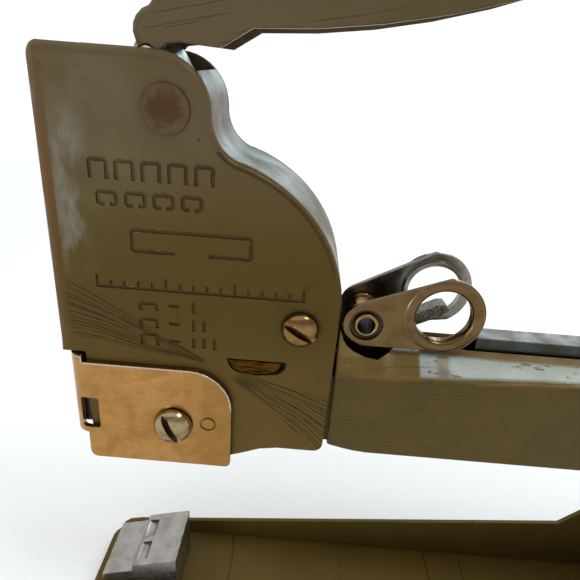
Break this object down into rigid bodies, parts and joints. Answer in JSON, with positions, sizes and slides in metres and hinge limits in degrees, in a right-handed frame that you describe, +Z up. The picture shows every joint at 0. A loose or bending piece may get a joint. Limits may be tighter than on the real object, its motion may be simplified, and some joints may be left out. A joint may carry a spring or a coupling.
{
  "type": "plier stapler",
  "caption": "Plier stapler: box head with a plated nose, a magazine arm with finger rings on top, a sprung lower jaw and a lever handle.",
  "frame": {"origin": "on the flat underside of the lower jaw, 49 mm behind the front of the head, in the plane of symmetry", "axes": "+X along the arm towards the handles, +Z up from the jaw underside, +Y across"},
  "size_m": [0.2635, 0.0342, 0.2489],
  "materials": {
    "olive_paint": "semi-gloss enamel, worn",
    "dark_steel": "blackened, oily",
    "brass": "polished, tarnished",
    "gold_plate": "yellow passivated zinc plate",
    "nickel": "nickel plate, worn",
    "rusty_steel": "stained",
    "spring_steel": "bright drawn",
    "steel": "plain, oiled"
  },
  "bodies": {
    "jaw": {"lower_jaw": "olive_paint", "anvil": "steel", "anvil_rivet_front": "steel", "anvil_rivet_rear": "steel", "jaw_pin": "steel", "jaw_pin_ring": "steel", "hinge_washer_near": "steel", "hinge_washer_far": "steel", "jaw_spring": "spring_steel", "spring_rivet": "steel"},
    "frame": {"head_shell": "olive_paint", "head_cover": "olive_paint", "nose_plate": "gold_plate", "nose_screw_near": "brass", "nose_screw_far": "brass", "arm_screw": "brass", "arm_screw_nut": "steel", "screw_spacer": "steel", "handle_pin": "olive_paint", "arm_cover": "olive_paint", "arm_liner": "dark_steel", "driver_guide": "steel", "cross_key": "rusty_steel", "cover_rivet_near": "steel", "cover_rivet_far": "steel", "return_spring": "spring_steel"},
    "handle": {"handle_lever": "olive_paint", "push_arm": "steel", "push_rivet": "steel"},
    "driver": {"plunger": "steel", "driver_blade": "spring_steel", "blade_rivet": "steel"},
    "magazine": {"magazine_core": "steel", "top_rail": "steel", "ring_bracket": "brass", "ring_eyelet": "brass", "spacer_barrel": "brass", "collar_near": "brass", "collar_far": "brass", "spring_rod": "steel", "rod_anchor": "steel", "staple_strip": "spring_steel", "latch_pin": "steel", "follower_spring": "spring_steel"},
    "near_ring": {"near_ring_lever": "nickel"},
    "far_ring": {"far_ring_lever": "nickel"},
    "latch": {"latch_tongue": "dark_steel"},
    "follower": {"staple_follower": "brass"}
  },
  "joints": [
    {"name": "jaw_hinge", "type": "hinge", "parent": "jaw", "child": "frame", "pos_m": [0.14, 0, 0.0672], "axis": [0, -1, 0], "range_deg": [0, 15.8], "stiffness_Nm_per_rad": 5, "springref_deg": -17.19, "deforming": ["jaw_spring"]},
    {"name": "handle_pivot", "type": "hinge", "parent": "frame", "child": "handle", "pos_m": [-0.0251, 0, 0.1369], "axis": [0, 1, 0], "range_deg": [0, 35.6], "stiffness_Nm_per_rad": 0.8, "springref_deg": -20.05},
    {"name": "driver_slide", "type": "slide", "parent": "frame", "child": "driver", "axis": [0, 0, -1], "range_m": [0, 0.01395], "deforming": ["return_spring"]},
    {"name": "magazine_slide", "type": "slide", "parent": "frame", "child": "magazine", "axis": [1, 0, 0], "range_m": [0, 0.085]},
    {"name": "near_ring_turn", "type": "hinge", "parent": "magazine", "child": "near_ring", "pos_m": [0.0176, 0, 0.0935], "axis": [0, -1, 0], "range_deg": [0, 22]},
    {"name": "far_ring_turn", "type": "hinge", "parent": "magazine", "child": "far_ring", "pos_m": [0.0176, 0, 0.0935], "axis": [0, -1, 0], "range_deg": [-8, 14]},
    {"name": "latch_pivot", "type": "hinge", "parent": "magazine", "child": "latch", "pos_m": [0.015, 0, 0.0815], "axis": [0, 1, 0], "range_deg": [0, 7], "stiffness_Nm_per_rad": 0.05, "springref_deg": -11.46},
    {"name": "follower_slide", "type": "slide", "parent": "magazine", "child": "follower", "axis": [1, 0, 0], "range_m": [0, 0.017], "stiffness_N_per_m": 40, "springref_m": -0.05, "deforming": ["follower_spring"]}
  ],
  "couplings": [
    {"joint": "driver_slide", "follows": "handle_pivot", "m_per_rad": 0.0224}
  ]
}
